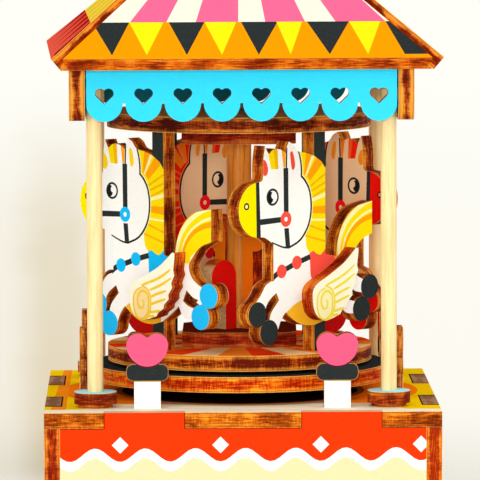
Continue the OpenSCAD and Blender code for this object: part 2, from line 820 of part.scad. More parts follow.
module crown_gear()
    color([0.85, 0.7, 0.35]) {
        difference() {
            union() {
                translate([0, 0, barrel_top])
                    cylinder(h = crown_root_z - barrel_top, r = barrel_r);
                translate([0, 0, crown_root_z]) cylinder(h = crown_t, r = crown_r);
            }
            translate([0, 0, barrel_top - 1]) cylinder(h = barrel_h, r = shaft_d / 2 + glue_fit);
        }
        for (i = [0 : crown_teeth - 1])
            rotate([0, 0, (i + 0.5) * 360 / crown_teeth])
                translate([pinion_x - 0.1, 0, crown_pitch_z])
                    rotate([90, 0, 90])
                        linear_extrude(mesh_w + 0.2)
                            polygon([
                                [-0.32, -crown_addendum], [0.32, -crown_addendum],
                                [0.55, crown_dedendum + 0.1], [-0.55, crown_dedendum + 0.1]
                            ]);
    }

// A toothed wheel with straight-sided teeth, one of them pointing up
module gear_2d(teeth, root_r, tip_r, root_w, tip_w, bore_r)
    difference() {
        union() {
            circle(root_r);
            for (i = [0 : teeth - 1])
                rotate(90 + i * 360 / teeth)
                    polygon([
                        [root_r - 0.4, -root_w / 2], [tip_r, -tip_w / 2],
                        [tip_r, tip_w / 2], [root_r - 0.4, root_w / 2]
                    ]);
        }
        circle(bore_r);
    }

module cylinder_pinion()
    color([0.85, 0.7, 0.35])
        standing(RIGHT, pinion_x, cylinder_z, mesh_w)
            gear_2d(pinion_teeth, pinion_pitch_r - 1.05, pinion_pitch_r + 0.8, 1.3, 0.5,
                    cylinder_arbor_d / 2 + glue_fit);

module cylinder_wheel()
    color([0.85, 0.7, 0.35])
        standing(RIGHT, wheel_x, cylinder_z, wheel_t)
            gear_2d(wheel_teeth, wheel_pitch_r - 0.9, wheel_pitch_r + 0.5, 1, 0.45,
                    cylinder_arbor_d / 2 + glue_fit);

module pinned_cylinder()
    color([0.85, 0.7, 0.35]) {
        standing(RIGHT, drum_x, cylinder_z, drum_l)
            ring_2d(drum_r, cylinder_arbor_d / 2 + glue_fit);
        for (n = [0 : notes - 1], k = [0 : pins_per_note - 1])
            translate([comb_x + (n + 0.5) * comb_pitch, 0, cylinder_z])
                rotate([n * 137 + k * 97 + 20, 0, 0])
                    translate([0, 0, drum_r - 0.5]) cylinder(h = pin_h + 0.5, d = 0.4, $fn = 16);
    }

module cylinder_arbor()
    color([0.75, 0.75, 0.77])
        standing(RIGHT, inner_bearing_x - 0.2, cylinder_z, arbor_end_x - inner_bearing_x + 0.2)
            circle(d = cylinder_arbor_d);

module governor_worm()
    color([0.75, 0.75, 0.77])
        translate([worm_x, worm_y, 0]) {
            translate([0, 0, bed_z + 0.2])
                cylinder(h = cock_z + cock_t - bed_z - 0.4, d = spindle_d);
            translate([0, 0, cylinder_z - worm_l / 2])
                linear_extrude(worm_l, twist = -360 * worm_turns, slices = 10 * worm_turns, $fn = 12)
                    translate([0, -worm_throw]) circle(worm_mid_r, $fn = 12);
        }

module governor_fly()
    color([0.85, 0.7, 0.35])
        translate([worm_x, worm_y, fly_z])
            difference() {
                union() {
                    cylinder(h = fly_h, r = spindle_d / 2 + 0.7);
                    translate([-fly_w / 2, -0.2, 0]) cube([fly_w, 0.4, fly_h]);
                }
                translate([0, 0, -1]) cylinder(h = fly_h + 2, r = spindle_d / 2 + glue_fit);
            }

// The key: two rounded wings under an arbor that reaches up into the barrel
module winding_key()
    color([0.75, 0.75, 0.77]) {
        wing_h = recess_h - 1 - key_gap;
        translate([0, 0.8, key_gap + wing_h / 2]) rotate([90, 0, 0]) linear_extrude(1.6) {
            for (s = [-1, 1]) translate([s * (key_w - wing_h) / 2, 0]) circle(d = wing_h, $fn = 40);
            square([key_w - wing_h, wing_h * 0.7], center = true);
        }
        translate([0, 0, key_gap]) cylinder(h = barrel_top - air - key_gap, d = arbor_d);
    }

// ---------------------------------------------------------------- nodes

base_top_plate();
base_front_panel();
base_back_panel();
base_left_panel();
base_right_panel();
base_bottom_panel();
front_heart_posts();
back_heart_posts();
left_heart_posts();
right_heart_posts();
pillar_front_left();
pillar_front_right();
pillar_back_left();
pillar_back_right();
pillar_collars();
ceiling_plate();
valance_front();
valance_back();
valance_left();
valance_right();
roof_front();
roof_back();
roof_left();
roof_right();
finial();
shaft_bush();
top_bush();
movement_bedplate();
mounting_screws();
cylinder_bearings();
comb_block();
comb();
comb_screws();
governor_bracket();
spring_barrel();
mainspring();
crown_gear();
output_shaft();
hub_flange();
lower_disc();
disc_spacer();
turntable();
lower_hub_block();
column();
centre_scrolls();
upper_hub_block();
upper_ring();
top_pivot_pin();
horse_front_left();
horse_front_right();
horse_back_left();
horse_back_right();
horse_wings();
pinned_cylinder();
cylinder_arbor();
cylinder_pinion();
cylinder_wheel();
governor_worm();
governor_fly();
winding_key();
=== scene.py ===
"""The look of a plywood carousel music box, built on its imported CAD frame."""
import math

import bmesh
import bpy
from mathutils import Matrix, Vector
from mathutils.geometry import delaunay_2d_cdt


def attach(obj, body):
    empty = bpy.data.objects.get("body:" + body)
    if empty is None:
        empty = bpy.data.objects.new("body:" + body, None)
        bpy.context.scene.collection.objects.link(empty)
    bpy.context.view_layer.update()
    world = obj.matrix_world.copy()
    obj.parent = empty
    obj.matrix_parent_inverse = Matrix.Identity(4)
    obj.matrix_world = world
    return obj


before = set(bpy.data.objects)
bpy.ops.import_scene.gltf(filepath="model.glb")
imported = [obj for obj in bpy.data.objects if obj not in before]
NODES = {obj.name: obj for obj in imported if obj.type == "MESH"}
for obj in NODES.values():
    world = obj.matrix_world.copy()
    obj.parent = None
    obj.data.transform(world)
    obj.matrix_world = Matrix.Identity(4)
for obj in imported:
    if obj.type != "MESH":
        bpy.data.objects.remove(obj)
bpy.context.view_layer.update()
MM = 0.001


def linear(rgb):
    """An sRGB colour, 0 to 255, as the linear colour with alpha that a socket takes."""
    def one(c):
        c /= 255
        return c / 12.92 if c <= 0.04045 else ((c + 0.055) / 1.055) ** 2.4
    return (*(one(c) for c in rgb), 1.0)


# ---------------------------------------------------------------- camera

CAMERA_AT = Vector((-23.56, -1402.99, 201.39)) * MM
CAMERA_YAW, CAMERA_PITCH, CAMERA_ROLL = 0.9698, 4.8158, -0.1816      # degrees right, down, over
LENS = 406.95

camera_data = bpy.data.cameras.new("camera")
camera_data.lens = LENS
camera_data.sensor_width = 36
camera = bpy.data.objects.new("camera", camera_data)
bpy.context.collection.objects.link(camera)
camera.location = CAMERA_AT
camera.rotation_euler = (Matrix.Rotation(-math.radians(CAMERA_YAW), 4, "Z")
                         @ Matrix.Rotation(math.radians(90 - CAMERA_PITCH), 4, "X")
                         @ Matrix.Rotation(math.radians(CAMERA_ROLL), 4, "Z")).to_euler()
bpy.context.scene.camera = camera


# ---------------------------------------------------------------- shader helpers

class Shader:
    """A material's node tree, with short calls for the nodes that it is made of."""

    def __init__(self, name, roughness=0.5, specular=0.4):
        self.mat = bpy.data.materials.new(name)
        self.mat.use_nodes = True
        self.tree = self.mat.node_tree
        self.bsdf = self.tree.nodes["Principled BSDF"]
        self.bsdf.inputs["Roughness"].default_value = roughness
        self.bsdf.inputs["Specular IOR Level"].default_value = specular
        coords = self.tree.nodes.new("ShaderNodeTexCoord").outputs
        self.p = self.vec("SCALE", coords["Object"], scale=1 / MM)     # the place in millimetres
        self.n = coords["Normal"]
        self.x, self.y, self.z = self.split(self.p)

    def node(self, kind, **inputs):
        made = self.tree.nodes.new(kind)
        for key, value in inputs.items():
            self.put(made.inputs[key], value)
        return made

    def put(self, socket, value):
        if isinstance(value, bpy.types.NodeSocket):
            self.tree.links.new(value, socket)
        elif isinstance(value, tuple) and socket.type == "RGBA" and len(value) == 3:
            socket.default_value = linear(value)
        else:
            socket.default_value = value

    def split(self, vector):
        return self.node("ShaderNodeSeparateXYZ", Vector=vector).outputs

    def join(self, x, y, z):
        return self.node("ShaderNodeCombineXYZ", X=x, Y=y, Z=z).outputs[0]

    def vec(self, operation, a, b=None, scale=None):
        made = self.tree.nodes.new("ShaderNodeVectorMath")
        made.operation = operation
        self.put(made.inputs[0], a)
        if b is not None:
            self.put(made.inputs[1], b)
        if scale is not None:
            self.put(made.inputs["Scale"], scale)
        return made.outputs["Value" if operation == "DOT_PRODUCT" else "Vector"]

    def math(self, operation, a, b=0.0, c=0.0):
        made = self.tree.nodes.new("ShaderNodeMath")
        made.operation = operation
        for socket, value in zip(made.inputs, (a, b, c)):
            self.put(socket, value)
        return made.outputs[0]

    def fade(self, value, low, high, a=0.0, b=1.0):
        """a where value is low, b where it is high, and smooth between them."""
        made = self.node("ShaderNodeMapRange", **{
            "Value": value, "From Min": low, "From Max": high, "To Min": a, "To Max": b})
        made.interpolation_type = "SMOOTHSTEP"
        return made.outputs[0]

    def mix(self, factor, a, b, blend="MIX"):
        made = self.tree.nodes.new("ShaderNodeMix")
        made.data_type = "RGBA"
        made.blend_type = blend
        self.put(made.inputs[0], factor)
        self.put(made.inputs[6], a)
        self.put(made.inputs[7], b)
        return made.outputs[2]

    def ramp(self, factor, *stops):
        made = self.node("ShaderNodeValToRGB", Fac=factor)
        elements = made.color_ramp.elements
        while len(elements) < len(stops):
            elements.new(0.5)
        for element, (position, rgb) in zip(elements, stops):
            element.position = position
            element.color = linear(rgb)
        return made.outputs[0]

    def noise(self, scale, detail=2.0, rough=0.5, vector=None, distortion=0.0):
        return self.node("ShaderNodeTexNoise", **{
            "Vector": self.p if vector is None else vector, "Scale": scale, "Detail": detail,
            "Roughness": rough, "Distortion": distortion}).outputs["Fac"]

    def stretched(self, along, factor):
        """The place with its part along a direction scaled by factor, so noise streaks that way."""
        part = self.vec("DOT_PRODUCT", self.p, along)
        return self.vec("ADD", self.p, self.vec("SCALE", along, scale=self.math(
            "MULTIPLY", part, factor - 1)))

    def bump(self, height, strength, distance):
        made = self.node("ShaderNodeBump", Height=height, Strength=strength, Distance=distance * MM)
        self.put(self.bsdf.inputs["Normal"], made.outputs[0])

    def done(self, color, rough):
        self.put(self.bsdf.inputs["Base Color"], color)
        self.put(self.bsdf.inputs["Roughness"], rough)
        return self.mat


# ---------------------------------------------------------------- outlines, in millimetres

def curve(points, steps=5):
    """A smooth line through the points."""
    line = []
    for i in range(len(points) - 1):
        a, b, c, d = (Vector(points[min(max(k, 0), len(points) - 1)]) for k in range(i - 1, i + 3))
        for k in range(steps):
            t = k / steps
            line.append(b + t * (c - a) / 2 + t * t * (2 * a - 5 * b + 4 * c - d) / 2
                        + t ** 3 * (3 * b - 3 * c + d - a) / 2)
    return line + [Vector(points[-1])]


def circle(u, v, r, rise=None, count=40, start=0.0, sweep=360.0):
    """A circle, an ellipse rise high, or part of one."""
    closed = abs(sweep) >= 360
    return [Vector((u + r * math.cos(a), v + (rise or r) * math.sin(a)))
            for k in range(count + (not closed))
            for a in [math.radians(start + sweep * k / count)]]


def rect(u0, v0, u1, v1):
    return [Vector(p) for p in ((u0, v0), (u1, v0), (u1, v1), (u0, v1))]


def stroke(points, width, taper=1.0):
    """The outline of a brush line along the points, its ends taper times as wide."""
    points = [Vector(p) for p in points]
    left, right = [], []
    for i, p in enumerate(points):
        along = (points[min(i + 1, len(points) - 1)] - points[max(i - 1, 0)]).normalized()
        side = Vector((-along.y, along.x))
        end = abs(2 * i / (len(points) - 1) - 1)
        half = width / 2 * (1 + (taper - 1) * end ** 4)
        left.append(p + half * side)
        right.append(p - half * side)
    return left + right[::-1]


def between(left, right, a, b):
    """The strip from the share a to the share b of the way from one line to another."""
    low = [p.lerp(q, a) for p, q in zip(left, right)]
    high = [p.lerp(q, b) for p, q in zip(left, right)]
    return low + high[::-1]


def turned_ccw(points):
    area = sum(p.x * q.y - q.x * p.y for p, q in zip(points, points[1:] + points[:1]))
    return points if area > 0 else points[::-1]


# ---------------------------------------------------------------- prints

INK_T = 0.03          # thickness of a print on the plywood


class Face:
    """A flat face of a CAD node, with the frame that its print is drawn in.

    u and v lie in the face; outward is the way it looks, which is u x v or its opposite.
    """

    def __init__(self, node, origin, u, v, inner=False):
        self.origin, self.u, self.v = Vector(origin), Vector(u), Vector(v)
        self.outward = self.u.cross(self.v) * (-1 if inner else 1)
        mesh = NODES[node].data
        places = [p.co / MM for p in mesh.vertices]
        flat = [self.flat(p) for p in places]
        seen = {}
        for polygon in mesh.polygons:
            if polygon.normal.dot(self.outward) < 0.999:
                continue
            if abs((places[polygon.vertices[0]] - self.origin).dot(self.outward)) > 0.02:
                continue
            ring = [tuple(round(c, 3) for c in flat[i]) for i in polygon.vertices]
            for edge in zip(ring, ring[1:] + ring[:1]):
                if edge[::-1] in seen:
                    del seen[edge[::-1]]
                else:
                    seen[edge] = True
        if not seen:
            raise ValueError(f"{node} has no face there")
        self.edges = list(seen)

    def flat(self, place):
        away = place - self.origin
        return Vector((away.dot(self.u), away.dot(self.v)))

    def holds(self, p):
        inside = False
        for (ax, ay), (bx, by) in self.edges:
            if (ay > p.y) != (by > p.y) and p.x < ax + (p.y - ay) * (bx - ax) / (by - ay):
                inside = not inside
        return inside

    def place(self, p, lift):
        return (self.origin + p.x * self.u + p.y * self.v + lift * self.outward) * MM


def print_on(name, body, faces):
    """One thin printed sheet over CAD faces, cut to their edges.

    faces lists (face, ground colour, [(colour, outline), ...]), and a later outline
    covers an earlier one. A ground of None leaves the bare wood.
    """
    verts, polys, inks = [], [], []
    for face, ground, shapes in faces:
        points, edges, outlines = [], [], []
        for a, b in face.edges:
            edges.append((len(points), len(points) + 1))
            points += [Vector(a), Vector(b)]
        for _, outline in shapes:
            outlines.append(list(range(len(points), len(points) + len(outline))))
            points += turned_ccw([Vector(p) for p in outline])
        flat, _, cells, _, _, owners = delaunay_2d_cdt(points, edges, outlines, 0, 0.002)
        kept = []
        for cell, owner in zip(cells, owners):
            middle = sum((flat[i] for i in cell), Vector((0, 0))) / len(cell)
            ink = shapes[max(owner)][0] if owner else ground
            if ink is not None and face.holds(middle):
                kept.append((cell, ink))
        rims = {}
        for cell, ink in kept:
            for edge in zip(cell, cell[1:] + cell[:1]):
                if edge[::-1] in rims:
                    del rims[edge[::-1]]
                else:
                    rims[edge] = ink
        first = len(verts)
        verts += [face.place(p, lift) for lift in (INK_T, 0.0) for p in flat]
        under = len(flat)
        aligned = face.u.cross(face.v).dot(face.outward) > 0
        for cell, ink in kept:
            for ring, up in ((cell, True), ([i + under for i in cell], False)):
                ring = [first + i for i in ring]
                polys.append(ring if up == aligned else ring[::-1])
                inks.append(ink)
        for (a, b), ink in rims.items():
            ring = [first + i for i in (a, a + under, b + under, b)]
            polys.append(ring if aligned else ring[::-1])
            inks.append(ink)
    mesh = bpy.data.meshes.new(name)
    mesh.from_pydata(verts, [], polys)
    colours = mesh.color_attributes.new("ink", "FLOAT_COLOR", "CORNER")
    for polygon, ink in zip(mesh.polygons, inks):
        for corner in polygon.loop_indices:
            colours.data[corner].color = linear(ink)
    lone = bmesh.new()
    lone.from_mesh(mesh)
    bmesh.ops.delete(lone, geom=[p for p in lone.verts if not p.link_faces], context="VERTS")
    lone.to_mesh(mesh)
    lone.free()
    piece = bpy.data.objects.new(name, mesh)
    bpy.context.collection.objects.link(piece)
    mesh.materials.append(INK)
    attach(piece, body)


def ink_material():
    """Ink on thin wood: the print's colour, with the grain and the pores showing through."""
    s = Shader("printed_ink", roughness=0.55, specular=0.0)
    colour = s.node("ShaderNodeVertexColor").outputs["Color"]
    colour.node.layer_name = "ink"
    grain = s.noise(1.6, 4, 0.6, s.node("ShaderNodeMapping", **{
        "Vector": s.p, "Scale": (0.35, 0.35, 2.2)}).outputs[0])
    pores = s.noise(3.4, 2, 0.5)
    specks = s.noise(5.5, 1, 0.5)
    shade = s.mix(s.fade(grain, 0.35, 0.7, 0.0, 0.13), colour, s.mix(
        1.0, colour, (222, 212, 196), "MULTIPLY"))
    shade = s.mix(s.fade(pores, 0.66, 0.8, 0.0, 0.12), shade, (255, 246, 225))
    shade = s.mix(s.fade(specks, 0.76, 0.82, 0.0, 0.4), shade, (250, 244, 228))
    s.bump(grain, 0.25, 0.06)
    return s.done(shade, s.fade(grain, 0.3, 0.7, 0.42, 0.56))


# ---------------------------------------------------------------- colours

WHITE = (254, 253, 250)
CREAM = (248, 229, 178)
PALE = (253, 250, 225)
CHARCOAL = (44, 50, 50)
BLACK = (28, 30, 30)
RED_ORANGE = (250, 59, 12)
BRIGHT = (255, 240, 20)
PINK = (255, 107, 152)
HOT_PINK = (250, 93, 134)
SKY = (56, 216, 255)
# the valances' sky blue darkened: painted shade for their inner faces
SKY_IN_PAINTED_SHADE = (30, 132, 165)
TAN_LINE = (205, 160, 90)

# ---------------------------------------------------------------- wood and metal

Z_AXIS = Vector((0, 0, 1))


def spoke(degrees):
    """The level direction at an angle from +X."""
    a = math.radians(degrees)
    return Vector((math.cos(a), math.sin(a), 0))


def span(node, axis):
    """The lowest and highest millimetre of a node along an axis."""
    along = [v.co.dot(axis) / MM for v in NODES[node].data.vertices]
    return min(along), max(along)


def dress(material, *nodes):
    for node in nodes:
        slots = NODES[node].data.materials
        slots.clear()
        slots.append(material)


def plywood(node, axis, dark=(96, 26, 5), light=(214, 100, 16), bare=(226, 184, 128),
            char=0.5, core=0.3, rim=0.5, ticks=0.24, wobble=1.5, up=None, both_ways=False):
    """Laser-cut plywood for one node, its sheet square to the axis.

    The cut edges are scorched from dark to light, more of the dark one as char goes to 1;
    core darkens the middle ply and gilds the outer ones; rim is a painted highlight on the corners.
    ticks is the strength of the laser's steps, wobble how far the plies waver, and up a colour
    for edges that look up: a painted highlight where it is pale, a painted shade where it is dark.
    The faces are bare wood. both_ways is for solids that lie on either side of the
    centre, at the same distance, or square to each other.
    """
    s = Shader(f"plywood_{node}", roughness=0.6, specular=0.05)
    low, high = span(node, axis)
    way = s.join(*axis)
    if both_ways:
        other = s.join(-axis.y, axis.x, 0)
        first = s.math("ABSOLUTE", s.vec("DOT_PRODUCT", s.p, way))
        second = s.math("ABSOLUTE", s.vec("DOT_PRODUCT", s.p, other))
        is_second = s.math("GREATER_THAN", second, first)
        is_first = s.math("SUBTRACT", 1.0, is_second)
        way = s.vec("ADD", s.vec("SCALE", way, scale=is_first),
                    s.vec("SCALE", other, scale=is_second))
        t = s.math("MAXIMUM", first, second)
        high = max(abs(low), abs(high))
        low = high - PLY
    else:
        t = s.vec("DOT_PRODUCT", s.p, way)
    facing = s.math("ABSOLUTE", s.vec("DOT_PRODUCT", s.n, way))
    half = (high - low) / 2
    depth = s.math("DIVIDE", s.math("ABSOLUTE", s.math("SUBTRACT", t, (low + high) / 2)), half)
    is_edge = s.fade(facing, 0.6, 0.8, 1.0, 0.0)
    # long fibres along the plies, the laser's fine steps across them, and uneven heat
    fibre = s.noise(0.3, 4, 0.62, s.stretched(way, 9.0))
    steps = s.noise(2.6, 2, 0.5, s.stretched(way, 0.16))
    blotch = s.noise(0.13, 2, 0.5)
    heat = s.math("ADD", s.math("MULTIPLY", fibre, 0.8), s.math("MULTIPLY", steps, ticks))
    heat = s.math("ADD", heat, s.math("MULTIPLY", s.math("SUBTRACT", blotch, 0.5), 0.6))
    heat = s.math("ADD", heat, 0.05 - (ticks - 0.24) / 2)
    wander = s.math("ADD", s.math("MULTIPLY", s.math("SUBTRACT", steps, 0.5), 0.3),
                    s.math("MULTIPLY", s.math("SUBTRACT", blotch, 0.5), wobble))
    ragged = s.math("ADD", depth, wander)
    outer = s.fade(ragged, 0.32, 0.8)
    heat = s.math("ADD", heat, s.math("MULTIPLY", s.math("SUBTRACT", outer, 0.5), 0.3 * core))
    middle = tuple(0.45 * a + 0.55 * b for a, b in zip(dark, light))
    bright = tuple(min(255, c + step) for c, step in zip(light, (34, 52, 24)))
    scorch = s.ramp(s.math("SUBTRACT", heat, (char - 0.5) * 0.25), (0.42, dark), (0.53, middle),
                    (0.62, light), (0.74, bright))
    gild = s.math("MULTIPLY", outer, 0.5 * core)
    scorch = s.mix(gild, scorch, (240, 168, 62))
    glue = s.math("MULTIPLY", s.fade(depth, 0.33, 0.39), s.fade(depth, 0.39, 0.46, 1.0, 0.0))
    scorch = s.mix(s.math("MULTIPLY", glue, s.fade(fibre, 0.4, 0.6, 0.1, 0.5)), scorch,
                   tuple(c * 0.6 for c in dark))
    line = s.math("MULTIPLY", s.fade(depth, 0.74, 0.84), s.fade(depth, 0.86, 0.93, 1.0, 0.0))
    scorch = s.mix(s.math("MULTIPLY", line, 0.5), scorch, tuple(c * 0.55 for c in dark))
    # a painted highlight in dots along the edge's corners, as strong as rim
    painted_highlight = s.math("MULTIPLY", s.fade(depth, 0.91, 0.96), s.fade(steps, 0.36, 0.6, 0.35, 1.0))
    scorch = s.mix(s.math("MULTIPLY", painted_highlight, rim), scorch, (250, 196, 110))
    # painted light and shade: the edges that look up take the up colour
    if up is not None:
        above = s.math("MULTIPLY", s.fade(s.split(s.n)[2], 0.7, 0.9), 0.8)
        scorch = s.mix(above, scorch, up)
    figure = s.noise(0.5, 4, 0.6, s.node("ShaderNodeMapping", **{
        "Vector": s.p, "Scale": (0.3, 2.4, 2.4)}).outputs[0], 0.4)
    face = s.ramp(figure, (0.3, tuple(c * 0.86 for c in bare)), (0.6, bare),
                  (0.75, tuple(min(255, c * 1.06) for c in bare)))
    relief = s.math("MULTIPLY", s.math("ADD", fibre, s.math("MULTIPLY", steps, 0.5)), is_edge)
    s.bump(s.math("ADD", relief, s.math("MULTIPLY", figure, 0.25)), 0.4, 0.16)
    dress(s.done(s.mix(is_edge, face, scorch), s.fade(heat, 0.4, 0.75, 0.7, 0.48)), node)


def dowel(name, axis, dark, light, *nodes):
    """Turned wood with its grain along the axis."""
    s = Shader(name, roughness=0.5, specular=0.35)
    along = s.join(*axis)
    grain = s.noise(1.1, 4, 0.6, s.stretched(along, 0.06), 0.2)
    pores = s.noise(3.0, 2, 0.5, s.stretched(along, 0.15))
    shade = s.ramp(grain, (0.3, dark), (0.52, light),
                   (0.75, tuple(min(255, c * 1.05) for c in light)))
    shade = s.mix(s.fade(pores, 0.62, 0.76, 0.0, 0.3), shade, dark)
    s.bump(s.math("ADD", grain, pores), 0.25, 0.08)
    dress(s.done(shade, s.fade(grain, 0.3, 0.7, 0.58, 0.44)), *nodes)


def metal(name, rgb, rough, *nodes, machined=(0, 0, 1)):
    """Machined metal, with fine turning marks and slightly uneven polish."""
    s = Shader(name, roughness=rough, specular=0.5)
    s.bsdf.inputs["Metallic"].default_value = 1.0
    cloud = s.noise(0.25, 3, 0.5)
    marks = s.noise(2.5, 3, 0.6, s.stretched(s.join(*machined), 8))
    shade = s.mix(s.fade(cloud, 0.35, 0.7, 0.0, 0.5), rgb, tuple(c * 0.82 for c in rgb))
    s.bump(marks, 0.12, 0.03)
    dress(s.done(shade, s.fade(marks, 0.3, 0.7, rough * 0.8, rough * 1.35)), *nodes)


PLY = span("base_top_plate", Z_AXIS)[1] - span("base_top_plate", Z_AXIS)[0]
BASE_HALF = span("base_right_panel", Vector((1, 0, 0)))[1]
BASE_TOP = span("base_top_plate", Z_AXIS)[1]
STAGE_Z = span("turntable", Z_AXIS)[1]
RING_Z = span("upper_ring", Z_AXIS)[0]
REST_TURN = -1.25
ROOF_TURN = 1.7
ROOF_SLOPE = math.radians(40.5)

SIDES = {"front": 270, "right": 0, "back": 90, "left": 180}
HORSES = {"front_left": 225, "front_right": 315, "back_left": 135, "back_right": 45}

for side, turn in SIDES.items():
    out = spoke(turn)
    # the up colours paint a highlight on the tops of the front and back edges, and shade on the
    # sides'
    plywood(f"base_{side}_panel", out, dark=(160, 40, 2) if side == "right" else (124, 22, 2),
            light=(255, 116, 14) if side == "right" else (226, 92, 8), core=0.6, rim=0.4,
            up=(232, 206, 168) if side in ("front", "back") else (126, 92, 58))
    plywood(f"{side}_heart_posts", out, dark=(90, 24, 8), light=(196, 104, 34), rim=0.6)
    plywood(f"valance_{side}", out, dark=(104, 20, 4), light=(206, 96, 20), char=0.56, core=1.0,
            rim=0.55)
    tilt = spoke(turn + ROOF_TURN) * math.sin(ROOF_SLOPE) + Z_AXIS * math.cos(ROOF_SLOPE)
    plywood(f"roof_{side}", tilt, dark=(122, 26, 0), light=(226, 100, 4), char=0.5,
            core=0.2 if side in ("front", "back") else 0.8, rim=0.25, ticks=0.1)
for corner, turn in HORSES.items():
    plywood(f"horse_{corner}", spoke(turn + REST_TURN), dark=(92, 20, 4), light=(204, 98, 18),
            char=0.54, core=0.4, rim=0.85)
plywood("horse_wings", spoke(45 + REST_TURN), dark=(104, 14, 2), light=(196, 66, 8), char=0.56,
        core=0.2, rim=0.6, both_ways=True)
plywood("centre_scrolls", spoke(45 + REST_TURN), dark=(120, 20, 6), light=(236, 80, 10), char=0.4)
plywood("base_top_plate", Z_AXIS, dark=(108, 32, 0), light=(216, 104, 6), char=0.52, core=0.15,
        rim=0.3)
plywood("base_bottom_panel", Z_AXIS)
plywood("ceiling_plate", Z_AXIS)
plywood("lower_disc", Z_AXIS, dark=(170, 30, 0), light=(255, 120, 10), char=0.42, core=0.5,
        rim=0.8, ticks=0.4, wobble=0.5)
plywood("turntable", Z_AXIS, dark=(104, 22, 0), light=(222, 104, 16), char=0.54, core=0.8,
        rim=0.9, ticks=0.4, wobble=0.5)
plywood("disc_spacer", Z_AXIS, dark=(40, 14, 6), light=(110, 50, 14), char=0.7, rim=0.1)
plywood("lower_hub_block", Z_AXIS, dark=(104, 14, 2), light=(176, 50, 10), char=0.52, rim=0.3)
plywood("upper_hub_block", Z_AXIS, dark=(104, 14, 2), light=(176, 50, 10), char=0.52, rim=0.3)
plywood("upper_ring", Z_AXIS, dark=(70, 14, 4), light=(180, 70, 14), char=0.6, core=0.4, rim=0.9)
plywood("pillar_collars", Z_AXIS, dark=(110, 26, 4), light=(196, 84, 22), char=0.55, core=0.3,
        rim=0.7)

dowel("dowel_pillars", Z_AXIS, (236, 204, 140), (250, 226, 166), "pillar_front_left",
      "pillar_front_right", "pillar_back_left", "pillar_back_right")
dowel("dowel_finial", Z_AXIS, (222, 186, 124), (250, 226, 166), "finial")
dowel("dowel_column", Z_AXIS, (164, 84, 8), (224, 136, 22), "column")

metal("movement_brass", (226, 186, 96), 0.28, "shaft_bush", "top_bush", "cylinder_bearings",
      "governor_bracket", "spring_barrel", "crown_gear", "hub_flange", "pinned_cylinder",
      "cylinder_pinion", "cylinder_wheel", "governor_fly")
metal("movement_steel", (188, 190, 196), 0.24, "mounting_screws", "comb_screws", "output_shaft",
      "top_pivot_pin", "cylinder_arbor", "governor_worm")
metal("comb_steel", (150, 154, 162), 0.3, "comb", "comb_block")
metal("spring_steel", (92, 98, 108), 0.34, "mainspring")
metal("bedplate_nickel", (182, 180, 174), 0.38, "movement_bedplate", machined=(1, 0, 0))
metal("key_steel", (196, 196, 200), 0.26, "winding_key")

INK = ink_material()

# ---------------------------------------------------------------- the base's prints

WAVE = 12.6           # length of one wave of the border
WAVE_RISE = 1.7
WAVE_MID = -10.7      # its middle, from the top of the base
WAVE_W = 2.5
TROUGH = -30.9        # where one trough lies, from the middle of a side
DIAMOND = 2.1
DIAMOND_V = -8.2
FOOT_BAND = 4.5
TAB_AT, TAB_HALF = 24.8, 10.2      # the tabs' middles, from the middle of a side
# dark lines: joints at the tabs, and a joint with a painted shadow under the top plate
JOINT_AND_SHADOW_LINE = (132, 22, 2)


def wave(v, count=90):
    """The wavy line at height v across a side of the base."""
    return [Vector((u, v - WAVE_RISE * math.cos(2 * math.pi * (u - TROUGH) / WAVE)))
            for k in range(count + 1) for u in [-51 + 102 * k / count]]


def base_art():
    band = wave(WAVE_MID) + [Vector((52, 1)), Vector((-52, 1))]
    shapes = [(WHITE, between(wave(WAVE_MID - WAVE_W), wave(WAVE_MID), 0, 1)), (RED_ORANGE, band)]
    for k in range(4):
        u = TROUGH + 2 * WAVE * k
        shapes.append((WHITE, circle(u, DIAMOND_V, DIAMOND, count=4)))
    cuts = [TAB_AT - TAB_HALF, TAB_AT + TAB_HALF]
    for u in (-cuts[1], -cuts[0], cuts[0], cuts[1]):
        shapes.append((JOINT_AND_SHADOW_LINE, rect(u - 0.22, -PLY - 0.1, u + 0.22, 1)))
    # along the top plate's underside, between the tabs: the joint, with a painted shadow of the
    # plate's edge
    for a, b in ((-51, -cuts[1]), (-cuts[0], cuts[0]), (cuts[1], 51)):
        shapes.append((JOINT_AND_SHADOW_LINE, rect(a, -PLY - 0.2, b, -PLY + 0.2)))
    foot = FOOT_BAND - BASE_TOP
    shapes += [(RED_ORANGE, rect(-51, -BASE_TOP - 1, 51, foot)),
               (WHITE, rect(-51, foot, 51, foot + 1))]
    return shapes


def upright(turn, reach, z, node, inner=False):
    """An upright plate's face: u runs anticlockwise and v up from z."""
    out = spoke(turn)
    return Face(node, out * reach + Z_AXIS * z, Vector((-out.y, out.x, 0)), Z_AXIS, inner)


def top_of(node):
    """A level plate's upper face, seen from above with the front at the bottom."""
    return Face(node, Z_AXIS * span(node, Z_AXIS)[1], (1, 0, 0), (0, 1, 0))


print_on("base_prints", "housing", [
    (upright(turn, BASE_HALF, BASE_TOP, f"base_{side}_panel"), CREAM, base_art())
    for side, turn in SIDES.items()])

PALE_WOOD = (255, 246, 220)
# The pale front of the top plate: a strip, and a bay that runs in under the disc
PALE_BAY = [(-51, -51), (51, -51), (51, -44.6), (41, -44.2), (37, -37), (34, -31), (-33, -31),
            (-37, -37), (-40, -42.6), (-51, -43.4)]
GRAIN_LINE = (176, 150, 112)


def sunburst(count, reach, shift=0.0):
    """Wedges from the middle, each a share of the turn."""
    step = 360 / count
    return [[Vector((0, 0))] + circle(0, 0, reach, start=(k + shift) * step, sweep=step, count=8)
            for k in range(count)]


